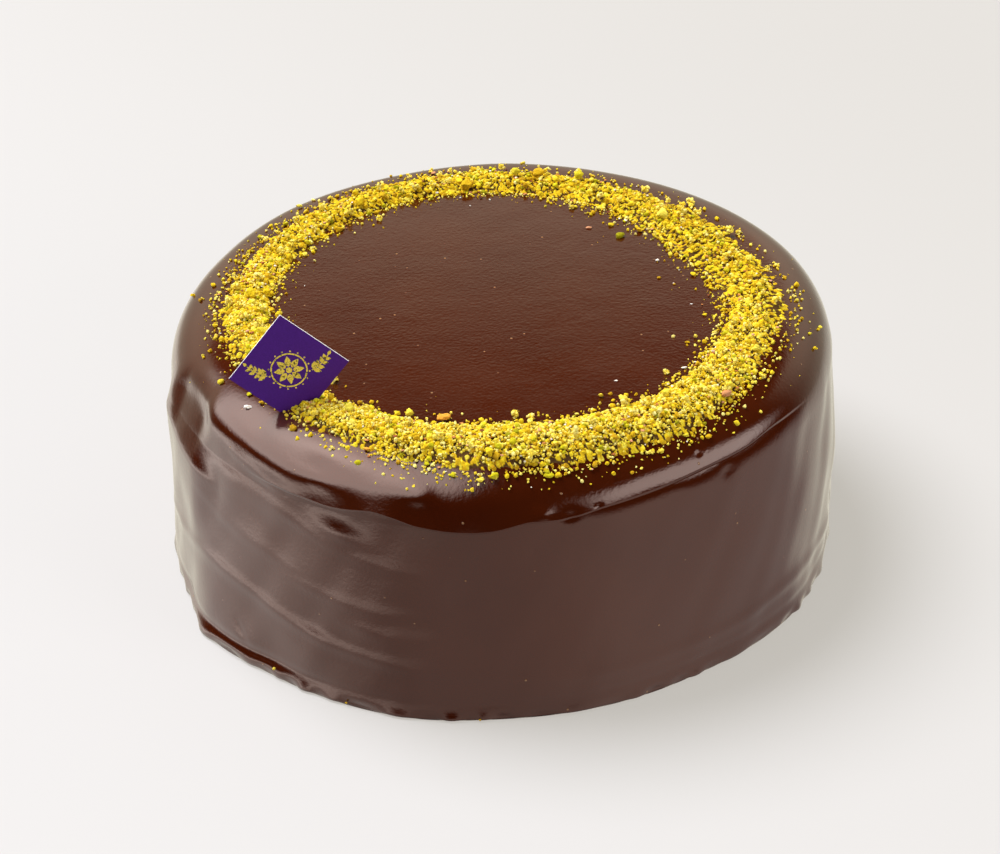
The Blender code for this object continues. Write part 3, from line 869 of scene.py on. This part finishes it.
def nearCard(points, reach):
    toCard = np.array(cardFrame().inverted())
    local = np.abs(points @ toCard[:3, :3].T + toCard[:3, 3])
    inside = np.maximum(local[:, 0], local[:, 2]) < 0.5 * tagCard["side"] + reach
    return inside & (local[:, 1] < 0.5 * tagCard["thickness"] + reach)


# the ring's edges are worked out once, every quarter of a degree
fineAngles = np.linspace(-180.0, 180.0, 1441)
fineInner = byAzimuth(fineAngles, crumbRing["inner"])
fineOuter = byAzimuth(fineAngles, crumbRing["outer"])


def ringEdges(azimuth):
    return [np.interp(azimuth, fineAngles, edge) for edge in (fineInner, fineOuter)]


def heapRise(share):
    arch = np.sin(math.pi * np.clip(share, 0.0, 1.0))
    return crumbRing["rise"] * arch ** crumbRing["riseCurve"]


def heapPatches(azimuth, radius):
    # about -1 to 1: where the heap is thicker, and where it is thin or missing
    x = radius * np.cos(np.radians(azimuth)) / crumbRing["patch"]
    y = radius * np.sin(np.radians(azimuth)) / crumbRing["patch"]
    waves = [rise * np.sin(across * x + along * y + phase)
             for across, along, phase, rise in crumbRing["patchWaves"]]
    return sum(waves) / crumbRing["patchRange"]


def ringShare(azimuth, radius):
    # share of the ring's width at a place, and how far in from the nearer edge that is
    inner, outer = ringEdges(azimuth)
    share = (radius - inner) / (outer - inner)
    bare = between(azimuth, crumbRing["bare"])
    return share, np.minimum(share, 1.0 - bare - share)


def heapHeight(azimuth, radius):
    # height of the heap above the glaze; below zero where there is none
    share, edge = ringShare(azimuth, radius)
    patches = heapPatches(azimuth, radius)
    usual, change = crumbRing["thickness"]
    loss, uneven = crumbRing["edgeLoss"]
    fade = ease(1.0 - edge / crumbRing["edgeFade"])
    return heapRise(share) * (usual + change * patches) - fade * (loss + uneven * patches)


def grainRelief(around, radius, rng):
    # round grains side by side over the heap: at each point the height of its grain, the
    # share of that height and the tone of the grain
    form = crumbRing
    low, high = form["grainRadius"]
    relief = np.zeros(radius.shape)
    share = np.zeros(radius.shape)
    tone = np.zeros(radius.shape)
    stepAz = 360.0 / form["around"]
    columnsAt = np.arange(form["around"])
    for grain in range(form["grains"]):
        centre = rng.uniform(-180.0, 180.0)
        inner, outer = ringEdges(centre)
        away = rng.uniform(inner, outer)
        size = low + (high - low) * rng.random() ** form["grainSmall"]
        sink = rng.uniform(*form["grainSink"]) * size
        reach = int(size / away / math.radians(stepAz)) + 1
        middle = int(round((centre + 180.0) / stepAz))
        columns = columnsAt.take(range(middle - reach, middle + reach + 1), mode='wrap')
        across = (np.radians(wrapped(around[columns] - centre)) * away)[:, None]
        gap = (across ** 2 + (radius[columns] - away) ** 2) / (size * size)
        bump = size * np.sqrt(np.clip(1.0 - gap, 0.0, 1.0)) + sink
        higher = (gap < 1.0) & (bump > relief[columns])
        relief[columns] = np.where(higher, bump, relief[columns])
        share[columns] = np.where(higher, bump / high, share[columns])
        tone[columns] = np.where(higher, rng.random(), tone[columns])
    return relief, share, tone


def makeHeap():
    form = crumbRing
    rng = np.random.default_rng(form["seed"])
    around = -180.0 + 360.0 * np.arange(form["around"]) / form["around"]
    shares = np.linspace(0.0, 1.0, form["across"])
    inner, outer = ringEdges(around)
    radius = inner[:, None] + (outer - inner)[:, None] * shares[None, :]
    azimuth = np.repeat(around[:, None], form["across"], axis=1)
    relief, share, tone = grainRelief(around, radius, rng)
    lift = heapHeight(azimuth, radius) + relief
    lift[:, [0, -1]] = -form["edgeSunk"]
    points = onTop(azimuth, radius, lift)
    index = np.arange(azimuth.size).reshape(azimuth.shape)
    after = np.roll(index, -1, axis=0)
    faces = np.stack([index[:, :-1], index[:, 1:], after[:, 1:], after[:, :-1]], axis=-1)
    mesh = bpy.data.meshes.new("crumbHeap")
    mesh.from_pydata(points.reshape(-1, 3).tolist(), [], faces.reshape(-1, 4).tolist())
    # grainHeight also tells the heap's material where its painted shade lies
    for name, values in (("grainHeight", share), ("grainTone", tone)):
        mesh.attributes.new(name, 'FLOAT', 'POINT').data.foreach_set("value", values.ravel())
    mesh.shade_smooth()
    addPiece("crumbHeap", mesh, heapMaterial())


def lumpShape(detail):
    # corners and faces of a round lump, before it is made uneven
    shape = bmesh.new()
    bmesh.ops.create_icosphere(shape, subdivisions=detail, radius=1.0)
    corners = np.array([corner.co[:] for corner in shape.verts])
    faces = np.array([[corner.index for corner in face.verts] for face in shape.faces])
    shape.free()
    return corners, faces


def randomTurns(count, rng):
    # rotation matrices, spread evenly
    turns = [Quaternion(turn).normalized() for turn in rng.normal(size=(count, 4))]
    return np.array([turn.to_matrix() for turn in turns])


def makeLumps(name, places, radii, detail, stretch, finish, rng):
    # one joined mesh of uneven lumps: bulged, dented, chopped flat on some sides, turned
    form = crumbLump
    corners, faces = lumpShape(detail)
    count = len(places)
    waves = rng.normal(size=(count, form["waves"], 3)) * form["waveSpread"]
    phases = rng.uniform(0.0, 2.0 * math.pi, (count, form["waves"], 1))
    bulge = np.sin(np.einsum("nwk,vk->nwv", waves, corners) + phases).mean(axis=1)
    rough = rng.uniform(-form["roughness"], form["roughness"], bulge.shape)
    away = 1.0 + form["bulge"] * bulge + rough
    lumps = corners[None] * away[:, :, None] * rng.uniform(*form["stretch"], (count, 1, 3))
    for cut in range(form["cuts"]):
        facing = rng.normal(size=(count, 1, 3))
        facing /= np.linalg.norm(facing, axis=2, keepdims=True)
        flatAt = rng.uniform(*form["cutAt"], (count, 1, 1))
        over = (lumps * facing).sum(axis=2, keepdims=True) - flatAt
        lumps = lumps - facing * np.maximum(over, 0.0)
    lumps = np.einsum("nij,nkj->nki", randomTurns(count, rng), lumps)
    lumps = lumps * np.array(stretch) * np.asarray(radii)[:, None, None]
    lumps = lumps + np.asarray(places)[:, None, :]
    every = faces[None] + (np.arange(count) * len(corners))[:, None, None]
    mesh = bpy.data.meshes.new(name)
    mesh.from_pydata(lumps.reshape(-1, 3).tolist(), [], every.reshape(-1, 3).tolist())
    if detail > 1:
        mesh.shade_smooth()
    addPiece(name, mesh, crumbMaterial(finish))


def scatterCrumbs(name, form):
    # many places are drawn, and the first that stay are taken
    rng = np.random.default_rng(form["seed"])
    low, high = form["radius"]
    tries = crumbRing["tries"] * form["count"]
    azimuth = rng.uniform(-180.0, 180.0, tries)
    inner, outer = ringEdges(azimuth)
    spill = crumbRing["spill"]
    away = inner + (outer - inner) * rng.uniform(-spill, 1.0 + spill, tries)
    edge = ringShare(azimuth, away)[1]
    start, uneven, width = crumbRing["thinning"]
    dense = ease((edge + start + uneven * heapPatches(azimuth, away)) / width)
    stays = rng.random(tries) < between(azimuth, crumbRing["density"]) * dense
    # fewer lemon crumbs away from the front: painted light that makes the front of the ring lighter
    if form["finish"] == "lemon":
        stays = stays & (rng.random(tries) < between(azimuth, crumbRing["lemonShare"]))
    stray = rng.random(tries) < form["stray"]
    inside = rng.random(tries) < between(azimuth, crumbRing["strayInside"])
    aside = rng.exponential(form["reach"], tries)
    away = np.where(stray, np.where(inside, inner - aside, outer + aside), away)
    radius = low + (high - low) * rng.random(tries) ** form["small"]
    seat = np.maximum(heapHeight(azimuth, away), 0.0) + form["lift"] * radius
    layer = form["layer"] * ease(edge / crumbRing["layerFade"])
    seat = seat + rng.random(tries) * layer * ~stray
    places = onTop(azimuth, away, seat)
    clear = away < crumbRing["farthest"]
    clear = clear & (stays | stray) & ~nearCard(places, crumbRing["cardGap"])
    chosen = np.flatnonzero(clear)[:form["count"]]
    makeLumps(name, places[chosen], radius[chosen], form["detail"], (1.0, 1.0, form["flat"]),
              form["finish"], rng)


def layCrumbs(name, finish, spots):
    # crumbs in given places, pressed a little into what they lie on
    rng = np.random.default_rng(len(spots))
    azimuth, away, size = np.transpose(spots)
    away = 0.001 * away
    radius = laidForm["radius"] * size
    seat = np.maximum(heapHeight(azimuth, away) + laidForm["seat"], 0.0)
    places = onTop(azimuth, away, seat + laidForm["lift"] * radius)
    makeLumps(name, places, radius, laidForm["detail"], laidShape[finish], finish, rng)


def stickCrumbs(name, finish):
    form = stuckCrumbs
    rng = np.random.default_rng(len(form["spots"]))
    azimuth, height, width = np.transpose(form["spots"])
    away = sideRadius(azimuth, height) + form["outward"] * width
    places = settle(azimuth, away, height)
    makeLumps(name, places, form["radius"] * width, form["detail"], form["flat"], finish, rng)


def layLargestCrumbs():
    form = largestCrumbs
    draw = random.Random(form["seed"])
    low, high = form["radius"]
    places = []
    radii = []
    while len(places) < form["count"]:
        radius = low + (high - low) * draw.random() ** form["small"]
        azimuth = draw.uniform(-180.0, 180.0)
        inner, outer = ringEdges(azimuth)
        heap = 0.0
        if draw.random() < form["strayShare"]:
            least, spread = form["stray"]
            aside = least + abs(draw.gauss(0.0, spread))
            away = outer + aside if draw.random() < 0.5 else inner - aside
        else:
            share = draw.uniform(*form["within"])
            away = inner + (outer - inner) * share
            heap = float(heapRise(share)) + form["seat"]
        point = Vector(onTop(azimuth, away, 0.0))
        point.z += heap + form["lift"] * radius
        if nearCard(np.array([point]), form["cardClear"] * radius + crumbRing["cardGap"])[0]:
            continue
        if any((point - other).length < form["spacing"] for other in places):
            continue
        places.append(point)
        radii.append(radius)
        for spent in range(form["shapeDraws"]):
            draw.random()
    rng = np.random.default_rng(form["seed"])
    places = np.array(places)
    radii = np.array(radii)
    whole = np.arange(len(radii)) % form["wholeEach"] == 0
    makeLumps("crumbsLargest", places[whole], form["wholeSize"] * radii[whole], 3,
              form["wholeFlat"], "yellow", rng)
    spots = np.repeat(places[~whole], form["clumpOf"], axis=0)
    sizes = np.repeat(radii[~whole], form["clumpOf"])
    toward = rng.normal(size=spots.shape)
    toward /= np.linalg.norm(toward, axis=1, keepdims=True)
    spots = spots + toward * (sizes * rng.uniform(*form["clumpReach"], sizes.shape))[:, None]
    sizes = sizes * rng.uniform(*form["clumpSize"], sizes.shape)
    makeLumps("crumbClumps", spots, sizes, 1, (1.0, 1.0, 1.0), "lemon", rng)


makeHeap()
for kindName, kindRow in crumbKinds.items():
    scatterCrumbs(kindName, dict(zip(kindColumns, kindRow)))
layLargestCrumbs()
for colourName, spots in laidCrumbs.items():
    layCrumbs("laid" + colourName.capitalize(), colourName, spots)
stickCrumbs("stuckYellow", "yellow")
print("crumbs laid")


studio = {
    "camera": (0.0, -0.6310, 0.42671),
    "aim": (-0.00082, -0.01126, 0.0400),
    "roll": -2.563,
    "lens": 85.0,
    "floorSize": 8.0,
    # the floor glows with painted light, which softens the shadows on it, and the glow dims towards
    # the back right as painted falloff of the light
    "floorColour": (0.24, 0.24, 0.25),
    "floorGlow": (0.488, 0.471, 0.441),     # at the left
    "floorFarGlow": (0.385, 0.360, 0.300),  # and at the back right, between these distances
    "floorFade": (-0.25, 0.40),
    "floorFadeTowards": (0.8, 0.6, 0.0),
    "fill": (0.66, 0.65, 0.62),         # pale light from behind, and its share in front
    "fillFront": 0.24,
    # lights that don't show in the gloss: azimuth, elevation, distance, size, power, colour
    "lights": {"topKey": (146.0, 62.0, 3.2, 2.1, 165.0, (1.0, 0.99, 1.02)),
               "rightWash": (-37.875, 23.679, 1.245, 0.6, 5.0, (1.0, 0.94, 0.88))},
    "lightsAim": (0.0, 0.0, 0.05),
    "backdrop": (1.00, 0.96, 0.75),     # as the glaze mirrors it
    "backdropFoot": 0.62,               # its share low down, which rises up to this elevation
    "backdropFull": 20.0,
    "backdropTop": (26.0, 31.5),        # elevations between which it ends
    "backdropSide": (0.20, 0.60),       # how far to the back it begins and is full
    # what the glaze mirrors from below: (azimuth, light of the near floor, of the far floor)
    "below": [(-180, 1.9, 2.8), (-170, 1.88, 2.8), (-150, 1.44, 2.8), (-134, 0.92, 1.8),
              (-124, 0.88, 0.9), (-110, 0.97, 0.5), (-90, 0.98, 0.3), (-70, 1.08, 0.4),
              (-50, 1.3, 0.5), (-30, 1.2, 0.5), (-10, 1.05, 0.4), (10, 0.87, 0.3),
              (30, 0.68, 0.2), (50, 0.42, 0.1), (62, 0.30, 0.1), (90, 0.30, 0.1),
              (114, 0.42, 0.3), (130, 0.68, 0.6), (150, 1.20, 1.0), (160, 1.70, 2.2),
              (180, 1.9, 2.8)],
    "floorTint": (1.05, 0.99, 0.94),
    # and its strength, by elevation
    "near": {-90: 0.2, -62: 0.6, -45: 0.9, -30: 1.0, -24: 1.0, -20: 0.72, -16: 0.42, -11: 0.0},
    "far": {-26: 0.0, -23: 0.25, -19: 1.0, -16: 0.8, -12: 0.3, -8: 0.0},
    # soft boxes that the glaze mirrors: azimuth, elevation, lean, half width and half height
    # in degrees, shares of them between which the edge fades, strength
    "boxes": [(-164, 43, -10, 45, 36, 1.14, 0.86, 5.4),
              (-166, 52, 0, 25, 13, 1.6, 0.2, 3.2),
              (-29, 14.5, -4, 37, 12, 1.15, 0.7, 5.0)],
}


def floorMaterial():
    material, tree, shader = newMaterial("paleFloor")
    # painted light: the floor glows, brighter at the left and dimmer towards the back right
    place = addNode(tree, "TexCoord", {}, "Object")
    away = addVectorMath(tree, 'DOT_PRODUCT', place, studio["floorFadeTowards"], output="Value")
    share = addRange(tree, away, *studio["floorFade"], 0.0, 1.0)
    glow = mixColours(tree, share, studio["floorGlow"], studio["floorFarGlow"])
    feed(shader, {"Base Color": studio["floorColour"], "Roughness": 0.9,
                  "Specular IOR Level": 0.0, "Emission Color": glow, "Emission Strength": 1.0})
    return material


def makeFloor():
    bpy.ops.mesh.primitive_plane_add(size=studio["floorSize"], location=(0.0, 0.0, -0.0002))
    floor = bpy.context.object
    floor.name = "floor"
    floor.visible_glossy = False
    floor.data.materials.append(floorMaterial())


def fromMiddle(azimuth, elevation, distance):
    # a place in the studio, seen from the cake
    around, up = math.radians(azimuth), math.radians(elevation)
    flat = distance * math.cos(up)
    return Vector((flat * math.cos(around), flat * math.sin(around), distance * math.sin(up)))


def addSoftLight(name, azimuth, elevation, distance, size, power, colour):
    # lights the cake, but doesn't show in its gloss
    data = bpy.data.lights.new(name, 'AREA')
    data.shape = 'DISK'
    data.size = size
    data.energy = power
    data.color = colour
    light = addObject(name, data)
    light.location = fromMiddle(azimuth, elevation, distance)
    aim = Vector(studio["lightsAim"]) - light.location
    light.rotation_euler = aim.to_track_quat('-Z', 'Y').to_euler()
    light.visible_camera = False
    light.visible_glossy = False


def addSoftBox(tree, place, box):
    # light of a soft box, by the direction in which it is seen
    azimuth, elevation, lean, wide, tall, outer, inner, light = box
    aim = fromMiddle(azimuth, elevation, 1.0).to_track_quat('Z', 'Y').to_matrix()
    turn = (aim @ Matrix.Rotation(math.radians(lean), 3, 'Z')).to_euler()
    size = [math.sin(math.radians(angle)) for angle in (wide, tall)]
    inputs = {"Vector": place, "Rotation": turn, "Scale": (*size, 1.0)}
    seen = addNode(tree, "Mapping", inputs, "Vector", vector_type='TEXTURE')
    flat = addVectorMath(tree, 'MULTIPLY', seen, (1.0, 1.0, 0.0))
    length = addVectorMath(tree, 'LENGTH', flat, output="Value")
    shown = addRange(tree, length, inner, outer, light, 0.0)
    depth = addNode(tree, "SeparateXYZ", {"Vector": seen}, "Z")
    return addMath(tree, 'MULTIPLY', shown, addRange(tree, depth, 0.0, 0.1, 0.0, 1.0))


def addFloorLight(tree, place, height):
    # the floor as the glaze mirrors it, by the direction in which it is seen
    around = addNode(tree, "TexGradient", {"Vector": place}, "Fac", gradient_type='RADIAL')
    rise = addMath(tree, 'MULTIPLY_ADD', height, 0.5, 0.5)
    lights = []
    for column, name in ((1, "near"), (2, "far")):
        turns = [(0.5 + row[0] / 360.0, [row[column] * part for part in studio["floorTint"]])
                 for row in studio["below"]]
        levels = [(0.5 + 0.5 * math.sin(math.radians(elevation)), (share,) * 3)
                  for elevation, share in studio[name].items()]
        lights.append(addVectorMath(tree, 'MULTIPLY', addRamp(tree, around, turns),
                                    addRamp(tree, rise, levels)))
    return addVectorMath(tree, 'ADD', *lights)


def addBackdrop(tree, height, depth):
    # stands low at the back, darker towards its foot
    full, low, high = [math.sin(math.radians(angle))
                       for angle in (studio["backdropFull"], *studio["backdropTop"])]
    under = addRange(tree, height, low, high, 1.0, 0.0)
    shaded = addRange(tree, height, 0.0, full, studio["backdropFoot"], 1.0)
    behind = addRange(tree, depth, *studio["backdropSide"], 0.0, 1.0)
    shown = addMath(tree, 'MULTIPLY', addMath(tree, 'MULTIPLY', under, shaded), behind)
    return mixColours(tree, shown, (0.0, 0.0, 0.0), studio["backdrop"])


def makeWorld():
    # pale fill light, and what only the gloss sees: backdrop, floor and soft boxes
    world = bpy.data.worlds.new("studio")
    bpy.context.scene.world = world
    world.use_nodes = True
    tree = world.node_tree
    place = addNode(tree, "TexCoord", {}, "Generated")
    depth, height = [addNode(tree, "SeparateXYZ", {"Vector": place}, name) for name in "YZ"]
    mirrored = addVectorMath(tree, 'ADD', addBackdrop(tree, height, depth),
                             addFloorLight(tree, place, height))
    for box in studio["boxes"]:
        mirrored = addVectorMath(tree, 'ADD', mirrored, addSoftBox(tree, place, box))
    front = shades(studio["fill"], studio["fillFront"])[0]
    fill = mixColours(tree, addRange(tree, depth, -0.6, 0.5, 0.0, 1.0), front, studio["fill"])
    glossy = addNode(tree, "LightPath", {}, "Is Glossy Ray")
    feed(tree.nodes["Background"], {"Color": mixColours(tree, glossy, fill, mirrored)})


def makeCamera():
    data = bpy.data.cameras.new("camera")
    data.lens = studio["lens"]
    data.sensor_width = 36.0
    camera = addObject("camera", data)
    place = Vector(studio["camera"])
    turn = (Vector(studio["aim"]) - place).to_track_quat('-Z', 'Y').to_matrix()
    roll = Matrix.Rotation(math.radians(studio["roll"]), 3, 'Z')
    camera.matrix_world = Matrix.Translation(place) @ (turn @ roll).to_4x4()
    bpy.context.scene.camera = camera


makeFloor()
makeWorld()
makeCamera()
for lightName, lightForm in studio["lights"].items():
    addSoftLight(lightName, *lightForm)
bpy.context.scene.view_settings.view_transform = 'Standard'
print("stage ready")
